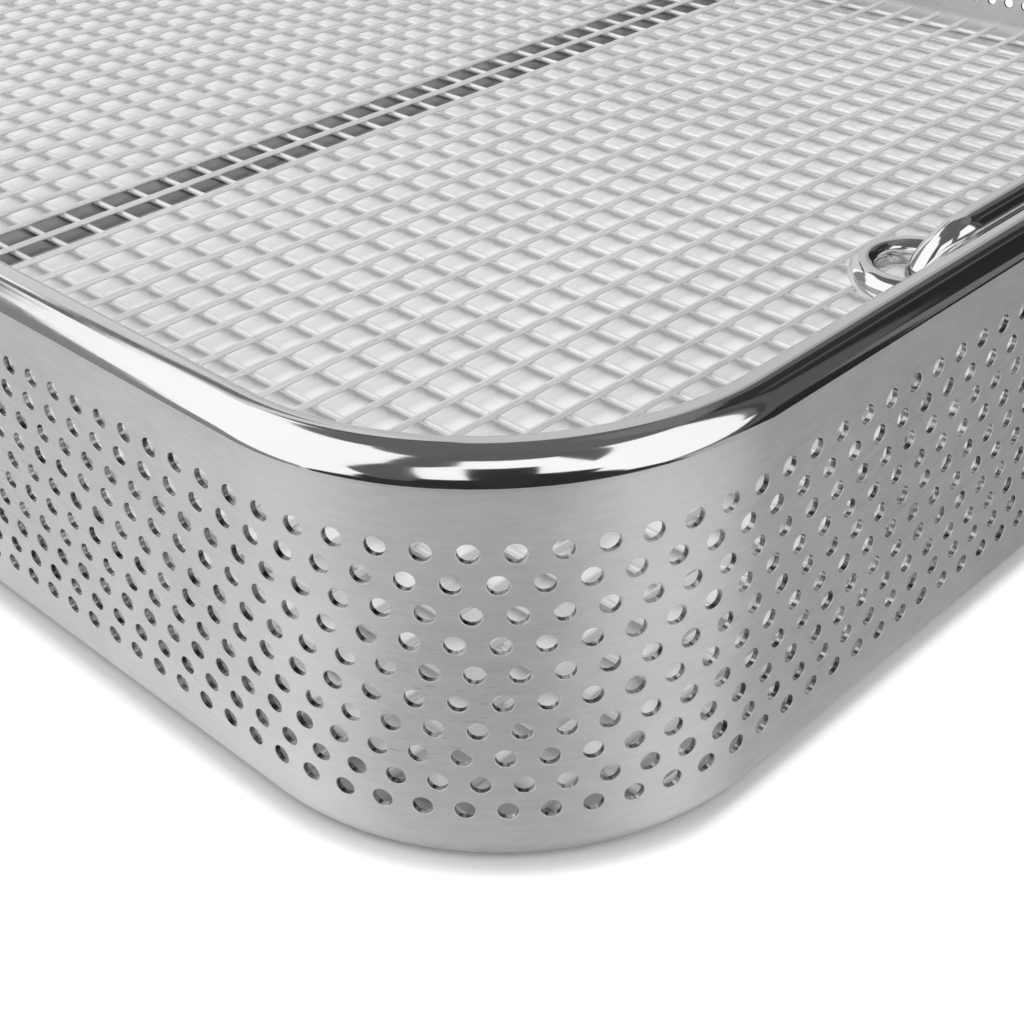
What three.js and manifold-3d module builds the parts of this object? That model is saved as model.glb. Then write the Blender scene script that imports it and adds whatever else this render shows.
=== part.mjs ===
import * as THREE from 'three';
import { mergeVertices } from 'three/addons/utils/BufferGeometryUtils.js';
import Module from 'manifold-3d';

// A sterilization basket: a perforated wall strip under a round rim rod, a wire mesh floor
// on the strip's inward flange, and a drop handle that slides in two guide rings at each end.
// Sizes are in millimetres. The basket stands on z = 0, its long side lies along X,
// and the front is the long wall at -Y.

// Wall strip
const wallLength = 485;
const wallWidth = 255;
const cornerRadius = 32.4;
const sheet = 0.6;
const footBend = 2.4;
const flangeWidth = 9;

// Perforation
const holeDiameter = 5;
const holePitch = 20;
const rowPitch = 9.6;
const rowCount = 4;
const lowestRow = 6.7;
const evenRowShare = 0.25;
const oddRowShare = 0.75;

// Rim rod
const rimTop = 45.7;
const rimDiameter = 4.6;
const rimProud = 0.9;

// Mesh floor and the strips under it
const floorWire = 1;
const floorPitch = 22;
const floorEdgeGap = 0.6;
const stripWidth = 12;
const stripSpacing = 146;

// Guide rings
const ringWire = 3;
const ringBore = 7.4;
const ringDrop = 3.5;
const ringSpacing = 118;

// Drop handles
const handleRod = 4;
const legSetOut = 1;
const shoulderRadius = 4.8;
const gripClearance = 0.4;
const feetBend = 3.5;
const feetReach = 9;
const feetHeight = 8;

// Clearances and the overrun of every cut
const weldGap = 0.3;
const seatGap = 0.3;
const wireGap = 0.1;
const seamGap = 0.1;
const overrun = 1.5;

// Facets
const holeSides = 6;
const rodSides = 12;
const wireSides = 8;
const handleSides = 12;
const bendSteps = 3;
const rimCornerSteps = 8;
const shoulderSteps = 7;
const footSteps = 4;
const ringTubeSides = 8;
const ringSteps = 16;

// Places that follow from the sizes
const arcX = wallLength / 2 - cornerRadius;
const arcY = wallWidth / 2 - cornerRadius;
const rimRadius = rimDiameter / 2;
const rimInset = rimRadius - rimProud;
const rimHeight = rimTop - rimRadius;
const wallTop = rimHeight - Math.sqrt(rimRadius ** 2 - (rimInset - sheet) ** 2) - weldGap;
const ringRadius = (ringBore + ringWire) / 2;
const ringHeight = rimHeight - ringDrop;
const ringReach = Math.sqrt((rimRadius + ringWire / 2 + weldGap) ** 2 - ringDrop ** 2);
const rimX = wallLength / 2 - rimInset;
const ringX = rimX - ringReach - ringRadius;
const handleRadius = handleRod / 2;
const legX = ringX + legSetOut;
const gripX = rimX - rimRadius - gripClearance - handleRadius;
const gripHeight = ringHeight + ringWire / 2 + seatGap + handleRadius;

const up = new THREE.Vector3(0, 0, 1);

// Materials
const satinSteel = () => new THREE.MeshStandardMaterial({ color: 0xb6b8ba, roughness: 0.42, metalness: 1 });
const polishedSteel = () => new THREE.MeshStandardMaterial({ color: 0xd2d4d6, roughness: 0.08, metalness: 1 });
const wireSteel = () => new THREE.MeshStandardMaterial({ color: 0xcbcdce, roughness: 0.3, metalness: 1 });

const wasm = await Module();
wasm.setup();

// Closed geometry to solid and back
function toSolid(geometry) {
  const bare = geometry.clone();
  bare.deleteAttribute('normal');
  bare.deleteAttribute('uv');
  const merged = mergeVertices(bare);
  return new wasm.Manifold(new wasm.Mesh({
    numProp: 3,
    vertProperties: new Float32Array(merged.attributes.position.array),
    triVerts: new Uint32Array(merged.index.array),
  }));
}

function toGeometry(solid) {
  const mesh = solid.getMesh();
  const geometry = new THREE.BufferGeometry();
  geometry.setAttribute('position', new THREE.BufferAttribute(new Float32Array(mesh.vertProperties), 3));
  geometry.setIndex(new THREE.BufferAttribute(new Uint32Array(mesh.triVerts), 1));
  geometry.computeVertexNormals();
  return geometry;
}

// Carries a flat section through a row of stations, each with a point and two axes
function sweep(section, stations) {
  const steps = stations.length - 1;
  const geometry = new THREE.ExtrudeGeometry(section, { depth: steps, steps, bevelEnabled: false });
  const position = geometry.attributes.position;
  const moved = new THREE.Vector3();
  for (let i = 0; i < position.count; i += 1) {
    const station = stations[Math.round(position.getZ(i))];
    moved.copy(station.point);
    moved.addScaledVector(station.across, position.getX(i));
    moved.addScaledVector(station.along, position.getY(i));
    position.setXYZ(i, moved.x, moved.y, moved.z);
  }
  geometry.computeVertexNormals();
  return geometry;
}

function circleSection(radius, sides, x = 0, y = 0) {
  const points = [];
  for (let i = 0; i < sides; i += 1) {
    const angle = (2 * Math.PI * i) / sides;
    points.push(new THREE.Vector2(x + radius * Math.cos(angle), y + radius * Math.sin(angle)));
  }
  return new THREE.Shape(points);
}

// The eight stretches of the outline, counter-clockwise: four straight sides and four bends.
// A place on one is given by its share of the stretch, and the outward direction is an angle.
function side(name, angle, from, to) {
  const start = new THREE.Vector3(from[0] * arcX, from[1] * arcY, 0);
  const end = new THREE.Vector3(to[0] * arcX, to[1] * arcY, 0);
  const outward = new THREE.Vector3(Math.cos(angle), Math.sin(angle), 0);
  const length = start.distanceTo(end);
  const at = (share) => ({
    point: start.clone().lerp(end, share).addScaledVector(outward, cornerRadius),
    across: outward.clone().negate(),
    along: up,
  });
  return { name, length, at, steps: 1 };
}

function corner(name, centre, angle) {
  const length = (cornerRadius * Math.PI) / 2;
  const at = (share) => {
    const turned = angle + (share * Math.PI) / 2;
    const outward = new THREE.Vector3(Math.cos(turned), Math.sin(turned), 0);
    return {
      point: new THREE.Vector3(centre[0] * arcX, centre[1] * arcY, 0).addScaledVector(outward, cornerRadius),
      across: outward.clone().negate(),
      along: up,
    };
  };
  return { name, length, at, steps: 0 };
}

const quarter = Math.PI / 2;
const sides = [
  side('right', 0, [1, -1], [1, 1]),
  side('back', quarter, [1, 1], [-1, 1]),
  side('left', 2 * quarter, [-1, 1], [-1, -1]),
  side('front', 3 * quarter, [-1, -1], [1, -1]),
];
const corners = [
  corner('front_right', [1, -1], -quarter),
  corner('back_right', [1, 1], 0),
  corner('back_left', [-1, 1], quarter),
  corner('front_left', [-1, -1], 2 * quarter),
];

// Stations along a stretch, short of both ends by half the seam
function stationsOf(stretch, steps) {
  const seamShare = seamGap / 2 / stretch.length;
  const stations = [];
  for (let i = 0; i <= steps; i += 1) {
    stations.push(stretch.at(seamShare + ((1 - 2 * seamShare) * i) / steps));
  }
  return stations;
}

// Wall strip: an upright web, a round bend at its foot and a flange turned in under the floor
function wallSection() {
  const section = new THREE.Shape();
  section.moveTo(0, wallTop);
  section.lineTo(0, footBend);
  section.absarc(footBend, footBend, footBend, Math.PI, 1.5 * Math.PI, false);
  section.lineTo(flangeWidth, 0);
  section.lineTo(flangeWidth, sheet);
  section.lineTo(footBend, sheet);
  section.absarc(footBend, footBend, footBend - sheet, 1.5 * Math.PI, Math.PI, true);
  section.lineTo(sheet, wallTop);
  section.closePath();
  const { shape } = section.extractPoints(bendSteps);
  return new THREE.Shape(shape);
}

function columnsOf(stretch) {
  return Math.max(1, Math.round(stretch.length / holePitch));
}

function holesOf(stretch) {
  const columns = columnsOf(stretch);
  const cutters = [];
  for (let row = 0; row < rowCount; row += 1) {
    const shift = row % 2 ? oddRowShare : evenRowShare;
    for (let column = 0; column < columns; column += 1) {
      const { point, across } = stretch.at((column + shift) / columns);
      const cutter = new THREE.CylinderGeometry(
        holeDiameter / 2, holeDiameter / 2, sheet + 2 * overrun, holeSides,
      );
      cutter.applyQuaternion(new THREE.Quaternion().setFromUnitVectors(new THREE.Vector3(0, 1, 0), across));
      cutter.translate(
        point.x + (across.x * sheet) / 2,
        point.y + (across.y * sheet) / 2,
        lowestRow + row * rowPitch,
      );
      cutters.push(toSolid(cutter));
    }
  }
  return wasm.Manifold.union(cutters);
}

function wallPiece(stretch) {
  const steps = stretch.steps || 2 * columnsOf(stretch);
  const strip = toSolid(sweep(wallSection(), stationsOf(stretch, steps)));
  return toGeometry(strip.subtract(holesOf(stretch)));
}

// Rim rod over the wall's top edge
function rimPiece(stretch) {
  const section = circleSection(rimRadius, rodSides, rimInset, rimHeight);
  return sweep(section, stationsOf(stretch, stretch.steps || rimCornerSteps));
}

// Mesh floor: long wires on the flange, cross wires on the long ones
const floorInset = footBend + floorEdgeGap;

function wireReach(place, arcAlong, arcAcross) {
  const bend = cornerRadius - floorInset;
  const past = Math.max(0, Math.abs(place) - arcAlong);
  return arcAcross + Math.sqrt(Math.max(0, bend ** 2 - past ** 2));
}

function floorWires(arcAlong, arcAcross, height, turn) {
  const width = 2 * (arcAlong + cornerRadius - floorInset);
  const count = Math.max(1, Math.round(width / floorPitch));
  const flatRadius = floorWire / 2 / Math.cos(Math.PI / wireSides);
  const wires = [];
  for (let i = 0; i < count; i += 1) {
    const place = ((i + 1 / 2) / count - 1 / 2) * width;
    const length = 2 * wireReach(place, arcAlong, arcAcross);
    const wire = new THREE.CylinderGeometry(
      flatRadius, flatRadius, length, wireSides, 1, false, Math.PI / wireSides,
    );
    wire.translate(place, 0, height);
    wire.rotateZ(turn);
    wires.push(toSolid(wire));
  }
  return wasm.Manifold.union(wires);
}

function floorMesh() {
  const longHeight = sheet + wireGap + floorWire / 2;
  const crossHeight = longHeight + floorWire;
  const longWires = floorWires(arcY, arcX, longHeight, quarter);
  return toGeometry(longWires.add(floorWires(arcX, arcY, crossHeight, 0)));
}

// Drop handle for the right end: foot, leg, shoulder and grip, then the same mirrored
function handleStations() {
  const legY = ringSpacing / 2;
  const half = [];
  const add = (x, y, z, tx, ty, tz) => half.push({
    point: new THREE.Vector3(x, -y, z),
    tangent: new THREE.Vector3(tx, ty, tz).normalize(),
  });
  add(legX, legY - feetReach, feetHeight, 0, -1, 0);
  for (let i = 0; i <= footSteps; i += 1) {
    const angle = (quarter * i) / footSteps;
    add(
      legX, legY - feetBend * (1 - Math.sin(angle)), feetHeight + feetBend * (1 - Math.cos(angle)),
      0, -Math.cos(angle), Math.sin(angle),
    );
  }
  // Round the foot bend the rod turns from sideways to upright, round the shoulder back again
  for (let i = 0; i <= shoulderSteps; i += 1) {
    const angle = (quarter * i) / shoulderSteps;
    add(
      legX + (gripX - legX) * Math.sin(angle) ** 2,
      legY - shoulderRadius * (1 - Math.cos(angle)),
      gripHeight - shoulderRadius * (1 - Math.sin(angle)),
      (gripX - legX) * Math.sin(2 * angle), shoulderRadius * Math.sin(angle), shoulderRadius * Math.cos(angle),
    );
  }
  const mirrored = half.slice().reverse().map(({ point, tangent }) => ({
    point: new THREE.Vector3(point.x, -point.y, point.z),
    tangent: new THREE.Vector3(-tangent.x, tangent.y, -tangent.z),
  }));
  return half.concat(mirrored).map(({ point, tangent }) => {
    const across = new THREE.Vector3(1, 0, 0).addScaledVector(tangent, -tangent.x).normalize();
    return { point, across, along: new THREE.Vector3().crossVectors(tangent, across) };
  });
}

function namedMesh(name, geometry, material) {
  const mesh = new THREE.Mesh(geometry, material);
  mesh.name = name;
  return mesh;
}

const basket = new THREE.Group();

for (const stretch of sides) {
  basket.add(namedMesh(`wall_${stretch.name}`, wallPiece(stretch), satinSteel()));
  basket.add(namedMesh(`rim_${stretch.name}`, rimPiece(stretch), polishedSteel()));
}
for (const stretch of corners) {
  basket.add(namedMesh(`wall_corner_${stretch.name}`, wallPiece(stretch), satinSteel()));
  basket.add(namedMesh(`rim_corner_${stretch.name}`, rimPiece(stretch), polishedSteel()));
}

basket.add(namedMesh('floor_mesh', floorMesh(), wireSteel()));

// Strips across the underside, between the flanges of the long walls
const stripLength = wallWidth - 2 * (flangeWidth + weldGap);
for (const [name, place] of [['left', -1], ['right', 1]]) {
  const strip = namedMesh(
    `floor_strip_${name}`, new THREE.BoxGeometry(stripWidth, stripLength, sheet), satinSteel(),
  );
  strip.position.set((place * stripSpacing) / 2, 0, sheet / 2);
  basket.add(strip);
}

// Two guide rings and a handle at each end
for (const [end, turn] of [['right', 0], ['left', Math.PI]]) {
  const group = new THREE.Group();
  group.rotation.z = turn;
  for (const place of [-1, 1]) {
    const ring = new THREE.TorusGeometry(ringRadius, ringWire / 2, ringTubeSides, ringSteps);
    const where = place * Math.cos(turn) < 0 ? 'front' : 'back';
    const mesh = namedMesh(`guide_ring_${where}_${end}`, ring, polishedSteel());
    mesh.position.set(ringX, (place * ringSpacing) / 2, ringHeight);
    group.add(mesh);
  }
  const section = circleSection(handleRadius, handleSides);
  group.add(namedMesh(`drop_handle_${end}`, sweep(section, handleStations()), polishedSteel()));
  basket.add(group);
}

export default basket;
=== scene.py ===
"""Sterilization basket: a perforated steel wall under a polished rim rod, a wire mesh floor
and a drop handle that slides in two guide rings at each end."""

import math

import bmesh
import bpy
from bpy.props import FloatProperty, FloatVectorProperty, IntProperty
from mathutils import Matrix, Vector


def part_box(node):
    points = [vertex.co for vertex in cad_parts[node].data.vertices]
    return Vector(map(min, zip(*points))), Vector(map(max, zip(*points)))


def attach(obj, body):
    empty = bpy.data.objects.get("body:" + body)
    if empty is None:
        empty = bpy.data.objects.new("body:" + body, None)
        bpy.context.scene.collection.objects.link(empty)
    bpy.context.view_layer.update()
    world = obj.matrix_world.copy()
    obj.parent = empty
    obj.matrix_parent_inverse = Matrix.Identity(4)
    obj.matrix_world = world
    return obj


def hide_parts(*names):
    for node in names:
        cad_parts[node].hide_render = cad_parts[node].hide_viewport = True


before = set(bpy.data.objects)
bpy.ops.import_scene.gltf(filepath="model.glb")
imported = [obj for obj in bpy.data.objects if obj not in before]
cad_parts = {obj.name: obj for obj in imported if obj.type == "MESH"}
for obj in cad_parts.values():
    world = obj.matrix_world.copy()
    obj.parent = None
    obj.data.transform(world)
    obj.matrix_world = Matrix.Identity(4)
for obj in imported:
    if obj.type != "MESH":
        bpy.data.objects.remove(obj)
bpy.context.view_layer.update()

bl_info = {
    "name": "Sterilization basket",
    "version": (1, 0, 0),
    "blender": (4, 5, 0),
    "location": "3D View > Sidebar > Basket",
    "description": "Builds a perforated instrument basket round its packed frame",
    "category": "Add Mesh",
}

MM = 0.001
QUARTER = math.pi / 2

# Corners nearer than this are one, and edges sharper than this stay sharp
MERGE = 0.004 * MM
SHARP = math.radians(40)

# Facets
HOLE_SIDES = 16
RIM_SIDES = 40
WIRE_SIDES = 12
RING_SIDES = 24
HANDLE_SIDES = 32
FLANGE_BEND_STEPS = 6
RIM_BEND_STEPS = 40
RING_STEPS = 64
FOOT_STEPS = 12
SHOULDER_STEPS = 18
SHORT_STEPS = 2
GRIP_STEPS = 3
LONG_STEPS = 4


def length(name, description, default):
    return FloatProperty(name=name, description=description, default=default, min=0.0, unit="LENGTH")


def colour(name, description, default):
    return FloatVectorProperty(
        name=name, description=description, default=default, size=4, min=0.0, max=1.0, subtype="COLOR"
    )


def share(name, description, default):
    return FloatProperty(
        name=name, description=description, default=default, min=0.0, max=1.0, subtype="FACTOR"
    )


def number(name, description, default):
    return IntProperty(name=name, description=description, default=default, min=1)


class BasketSizes(bpy.types.PropertyGroup):
    """Sizes of the basket"""

    wall_length: length("Wall length", "Over the outside of the end walls", 2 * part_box("wall_right")[1].x)
    wall_width: length("Wall width", "Over the outside of the long walls", 2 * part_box("wall_back")[1].y)
    corner_radius: length("Corner radius", "Outside radius of the four bends", 32.4 * MM)
    sheet: length("Sheet", "Thickness of the wall strip", 0.6 * MM)
    foot_bend: length("Foot bend", "Outside radius of the bend at the wall's foot", 2.4 * MM)
    flange_width: length("Flange width", "Reach of the flange under the floor", 9 * MM)
    hole_diameter: length("Hole diameter", "Round holes in the wall", 2.0 * MM)
    hole_break: length("Hole break", "Worn outer edge of each hole", 0.07 * MM)
    hole_columns: number("Hole columns", "Holes in one row round the wall", 356)
    row_pitch: length("Row pitch", "Height from one row of holes to the next", 3.2 * MM)
    row_pairs: number("Row pairs", "Pairs of straight and shifted rows", 5)
    top_row: length("Top row", "Height of the highest row of holes", 35.5 * MM)
    hole_start: share("Hole start", "Place of the first hole from the bend's middle, in pitches", 0.287)
    row_shift: share("Row shift", "Shift of every second row, in pitches", 0.4)
    rim_diameter: length("Rim diameter", "Round rod on the wall's top edge", 4.6 * MM)
    rim_top: length("Rim top", "Height of the basket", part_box("rim_front")[1].z)
    rim_proud: length("Rim proud", "Reach of the rod past the wall's outside", 0.9 * MM)
    rim_overlap: length("Rim overlap", "From the rod's middle down to the wall's top edge", 0.6 * MM)
    mesh_wire: length("Mesh wire", "Diameter of the floor's wires", 1.0 * MM)
    mesh_pitch: length("Mesh pitch", "From one floor wire to the next", 7.0 * MM)
    mesh_shift: length("Mesh shift", "Shift of the long wires towards the back", 1.2 * MM)
    mesh_sink: length("Mesh sink", "Depth of the welds where two wires cross", 0.12 * MM)
    mesh_edge: length("Mesh edge", "Room between the wires' ends and the wall's bend", 0.6 * MM)
    mesh_bottom: length("Mesh bottom", "Height of the wires' underside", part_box("floor_mesh")[0].z)
    long_wires: number("Long wires", "Wires along the basket", 35)
    cross_wires: number("Cross wires", "Wires across the basket", 69)
    strip_width: length("Strip width", "Flat strips under the mesh", 12 * MM)
    strip_spacing: length("Strip spacing", "Between the middles of the two strips", 146 * MM)
    strip_edge: length("Strip edge", "Rounding of the strips' edges", 0.2 * MM)
    ring_wire: length("Ring wire", "Diameter of the guide rings' wire", 3.0 * MM)
    ring_bore: length("Ring bore", "Opening of a guide ring", 7.4 * MM)
    bead_thick: length("Bead thickness", "Half the height of a ring's weld bead", 1.0 * MM)
    bead_wide: length("Bead width", "Half the width of a ring's weld bead along the rim", 1.9 * MM)
    bead_long: length("Bead length", "Half the reach of a ring's weld bead towards the rim", 1.1 * MM)
    bead_place: share("Bead place", "The bead's middle on the way from the ring to the rim", 0.42)
    bead_lumps: share("Bead lumps", "Unevenness of the weld beads", 0.06)
    handle_rod: length("Handle rod", "Diameter of the handles", 4.0 * MM)
    shoulder_radius: length("Shoulder radius", "Middle line of a handle's upper bends", 4.8 * MM)
    foot_radius: length("Foot radius", "Middle line of a handle's lower bends", 3.5 * MM)
    foot_reach: length("Foot reach", "From a handle's leg to the end of its foot", 9 * MM)
    foot_height: length("Foot height", "Middle of a handle's turned foot", 8 * MM)


class BasketColours(bpy.types.PropertyGroup):
    """Colours of the basket and its stage"""

    satin: colour("Satin wall", "Brushed sheet of the wall", (0.79, 0.792, 0.795, 1))
    hole_wall: colour("Hole wall", "Bright sheared steel inside the holes", (0.6, 0.6, 0.605, 1))
    polished: colour("Polished rod", "Rim, rings and handles", (0.95, 0.952, 0.955, 1))
    wire: colour("Mesh wire", "Mesh floor", (0.95, 0.952, 0.955, 1))
    strip: colour("Strip", "Dull strips under the floor", (0.42, 0.42, 0.425, 1))
    table: colour("Table", "Pale table under the basket", (0.6, 0.6, 0.6, 1))


def sizes():
    return bpy.context.scene.basket_sizes


def colours():
    return bpy.context.scene.basket_colours


# The walls' outline


def perimeter():
    s = sizes()
    straight = s.wall_length + s.wall_width - 4 * s.corner_radius
    return 2 * straight + 4 * QUARTER * s.corner_radius


def outline_place(way):
    """The place on the walls' outside and its outward direction, a way round from the front right
    bend's middle towards the back"""
    s = sizes()
    arc_x = s.wall_length / 2 - s.corner_radius
    arc_y = s.wall_width / 2 - s.corner_radius
    bend = QUARTER * s.corner_radius
    left = (way + bend / 2) % perimeter()
    stretches = (
        (1, -1, -QUARTER, 2 * arc_y),
        (1, 1, 0.0, 2 * arc_x),
        (-1, 1, QUARTER, 2 * arc_y),
        (-1, -1, 2 * QUARTER, 2 * arc_x),
    )
    for end_x, end_y, angle, straight in stretches:
        turned = angle + min(left, bend) / s.corner_radius
        outward = Vector((math.cos(turned), math.sin(turned), 0))
        onward = Vector((-outward.y, outward.x, 0))
        if left <= bend + straight:
            past = max(0.0, left - bend)
            middle = Vector((end_x * arc_x, end_y * arc_y, 0))
            return middle + s.corner_radius * outward + past * onward, outward
        left -= bend + straight
    raise ValueError("the way runs past the outline")


def wrap_on_outline(bm, start):
    """Wraps a flat strip, with its way along X, its depth inward along Y and its height along Z"""
    known = {}
    for vert in bm.verts:
        key = round(vert.co.x / MERGE)
        if key not in known:
            known[key] = outline_place(start + vert.co.x)
        place, outward = known[key]
        height = vert.co.z
        vert.co = place - vert.co.y * outward
        vert.co.z = height


# Steps that several pieces share


def pick(geometry, kind):
    return [item for item in geometry if isinstance(item, kind)]


def ring_of(bm, radius, sides, matrix):
    made = bmesh.ops.create_circle(bm, segments=sides, radius=radius, matrix=matrix)
    edges = {edge for vert in made["verts"] for edge in vert.link_edges}
    return made["verts"] + list(edges)


def run_on(bm, ends, move, steps=1):
    """Draws the ends along a straight move"""
    made = bmesh.ops.spin(
        bm, geom=ends, cent=(0, 0, 0), axis=(0, 0, 1), dvec=Vector(move) / steps, angle=0,
        space=Matrix.Identity(4), steps=steps, use_duplicate=False,
    )
    return made["geom_last"]


def copy_on(bm, move, count):
    """Copies all there is so far, each copy a move further"""
    bmesh.ops.spin(
        bm, geom=everything(bm), cent=(0, 0, 0), axis=(0, 0, 1), dvec=move, angle=0,
        space=Matrix.Identity(4), steps=count, use_duplicate=True,
    )


def turn_on(bm, ends, centre, axis, angle, steps, close=False):
    """Draws the ends round a bend"""
    made = bmesh.ops.spin(
        bm, geom=ends, cent=centre, axis=axis, dvec=(0, 0, 0), angle=angle,
        space=Matrix.Identity(4), steps=steps, use_duplicate=False, use_merge=close,
    )
    return made["geom_last"]


def everything(bm):
    return bm.verts[:] + bm.edges[:] + bm.faces[:]


def close_ends(bm):
    open_edges = [edge for edge in bm.edges if edge.is_boundary]
    bmesh.ops.holes_fill(bm, edges=open_edges, sides=0)


def merge_and_face_out(bm):
    bmesh.ops.remove_doubles(bm, verts=bm.verts[:], dist=MERGE)
    bmesh.ops.recalc_face_normals(bm, faces=bm.faces[:])


def finished_piece(name, bm, material, body, nodes=(), second=None):
    """Makes a piece of a bmesh, on its CAD body and in place of its CAD nodes"""
    if not bm.faces:
        raise RuntimeError(f"{name} has no faces")
    mesh = bpy.data.meshes.new(name)
    bm.to_mesh(mesh)
    bm.free()
    mesh.shade_smooth()
    mesh.set_sharp_from_angle(angle=SHARP)
    mesh.materials.append(material)
    if second:
        mesh.materials.append(second)
    piece = bpy.data.objects.new(name, mesh)
    bpy.context.scene.collection.objects.link(piece)
    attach(piece, body)
    if nodes:
        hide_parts(*nodes)
    return piece


# Materials

# The parts of the grain's height that become gloss and dark lines, and of the noise that become scratches
GLOSS_RANGE = (0.3, 0.7)
LINE_RANGE = (0.35, 0.65)
SCRATCH_RANGE = (0.58, 0.76)
SCRATCH_FINENESS = (600, 600, 4200)

# A quarter of a turn, which sets the wide way of the satin gloss upright
UPRIGHT = 0.25


def add_node(tree, kind, place, **values):
    node = tree.nodes.new(kind)
    node.location = place
    for key, value in values.items():
        setattr(node, key, value)
    return node


def new_group(name, inputs, outputs):
    group = bpy.data.node_groups.new(name, "ShaderNodeTree")
    for label, kind, default in inputs:
        socket = group.interface.new_socket(label, in_out="INPUT", socket_type=kind)
        if default is not None:
            socket.default_value = default
    for label, kind in outputs:
        group.interface.new_socket(label, in_out="OUTPUT", socket_type=kind)
    return group


def ranged(tree, place, value, source, target, **values):
    """Carries a value from one range over to another"""
    node = add_node(tree, "ShaderNodeMapRange", place, **values)
    node.inputs["From Min"].default_value = source[0]
    node.inputs["From Max"].default_value = source[1]
    node.inputs["To Min"].default_value = target[0]
    node.inputs["To Max"].default_value = target[1]
    tree.links.new(value, node.inputs["Value"])
    return node.outputs["Result"]


def maths(tree, place, operation, first, second):
    """Joins two values, with the result kept from 0 to 1"""
    node = add_node(tree, "ShaderNodeMath", place, operation=operation, use_clamp=True)
    tree.links.new(first, node.inputs[0])
    tree.links.new(second, node.inputs[1])
    return node.outputs["Value"]


def vector_maths(tree, place, operation, first, second=(0, 0, 0)):
    """Joins a linked vector and three numbers"""
    node = add_node(tree, "ShaderNodeVectorMath", place, operation=operation)
    node.inputs[1].default_value = second
    tree.links.new(first, node.inputs[0])
    return node


def darken(tree, place, colour_in, shade):
    """Multiplies a colour by a shade from 0 to 1"""
    node = add_node(tree, "ShaderNodeMix", place, data_type="RGBA", blend_type="MULTIPLY")
    node.inputs["Factor"].default_value = 1
    tree.links.new(colour_in, node.inputs["A"])
    tree.links.new(shade, node.inputs["B"])
    return node.outputs["Result"]


def brushed_grain():
    """Fine parallel lines, as a height from 0 to 1"""
    name = "Brushed grain"
    if name in bpy.data.node_groups:
        return bpy.data.node_groups[name]
    group = new_group(
        name,
        [("Vector", "NodeSocketVector", None), ("Fineness", "NodeSocketFloat", 1.0)],
        [("Height", "NodeSocketFloat")],
    )
    start = add_node(group, "NodeGroupInput", (-600, 0))
    end = add_node(group, "NodeGroupOutput", (300, 0))
    lines = add_node(group, "ShaderNodeTexNoise", (-300, 0))
    lines.inputs["Detail"].default_value = 4
    lines.inputs["Roughness"].default_value = 0.65
    group.links.new(start.outputs["Vector"], lines.inputs["Vector"])
    group.links.new(start.outputs["Fineness"], lines.inputs["Scale"])
    group.links.new(lines.outputs["Fac"], end.inputs["Height"])
    return group


def soft_smudges_and_shade():
    """Wide soft patches, as a mask from 0 to 1: smudges on most steels, painted shade on the holes' walls
    """
    name = "Soft smudges"
    if name in bpy.data.node_groups:
        return bpy.data.node_groups[name]
    group = new_group(
        name,
        [
            ("Vector", "NodeSocketVector", None),
            ("Scale", "NodeSocketFloat", 60.0),
            ("Low", "NodeSocketFloat", 0.35),
            ("High", "NodeSocketFloat", 0.7),
        ],
        [("Mask", "NodeSocketFloat")],
    )
    start = add_node(group, "NodeGroupInput", (-600, 0))
    end = add_node(group, "NodeGroupOutput", (400, 0))
    patches = add_node(group, "ShaderNodeTexNoise", (-300, 0))
    patches.inputs["Detail"].default_value = 3
    spread = add_node(group, "ShaderNodeMapRange", (100, 0), interpolation_type="SMOOTHSTEP")
    group.links.new(start.outputs["Vector"], patches.inputs["Vector"])
    group.links.new(start.outputs["Scale"], patches.inputs["Scale"])
    group.links.new(patches.outputs["Fac"], spread.inputs["Value"])
    group.links.new(start.outputs["Low"], spread.inputs["From Min"])
    group.links.new(start.outputs["High"], spread.inputs["From Max"])
    group.links.new(spread.outputs["Result"], end.inputs["Mask"])
    return group


def use_group(tree, group, place, **values):
    node = add_node(tree, "ShaderNodeGroup", place, node_tree=group)
    for key, value in values.items():
        node.inputs[key].default_value = value
    return node


def fine_scratches():
    """Short level scratches in loose patches, as a mask from 0 to 1"""
    name = "Fine scratches"
    if name in bpy.data.node_groups:
        return bpy.data.node_groups[name]
    group = new_group(
        name,
        [("Vector", "NodeSocketVector", None), ("Patch Scale", "NodeSocketFloat", 45.0)],
        [("Mask", "NodeSocketFloat")],
    )
    start = add_node(group, "NodeGroupInput", (-900, 0))
    end = add_node(group, "NodeGroupOutput", (500, 0))
    level = add_node(group, "ShaderNodeMapping", (-700, 100))
    level.inputs["Scale"].default_value = SCRATCH_FINENESS
    marks = add_node(group, "ShaderNodeTexNoise", (-500, 100))
    marks.inputs["Scale"].default_value = 1
    marks.inputs["Detail"].default_value = 2
    group.links.new(start.outputs["Vector"], level.inputs["Vector"])
    group.links.new(level.outputs["Vector"], marks.inputs["Vector"])
    sharp = ranged(
        group, (-200, 100), marks.outputs["Fac"], SCRATCH_RANGE, (0, 1), interpolation_type="SMOOTHSTEP"
    )
    patches = use_group(group, soft_smudges_and_shade(), (-500, -200), Low=0.5, High=0.66)
    group.links.new(start.outputs["Vector"], patches.inputs["Vector"])
    group.links.new(start.outputs["Patch Scale"], patches.inputs["Scale"])
    both = maths(group, (200, 0), "MULTIPLY", sharp, patches.outputs["Mask"])
    group.links.new(both, end.inputs["Mask"])
    return group


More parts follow.
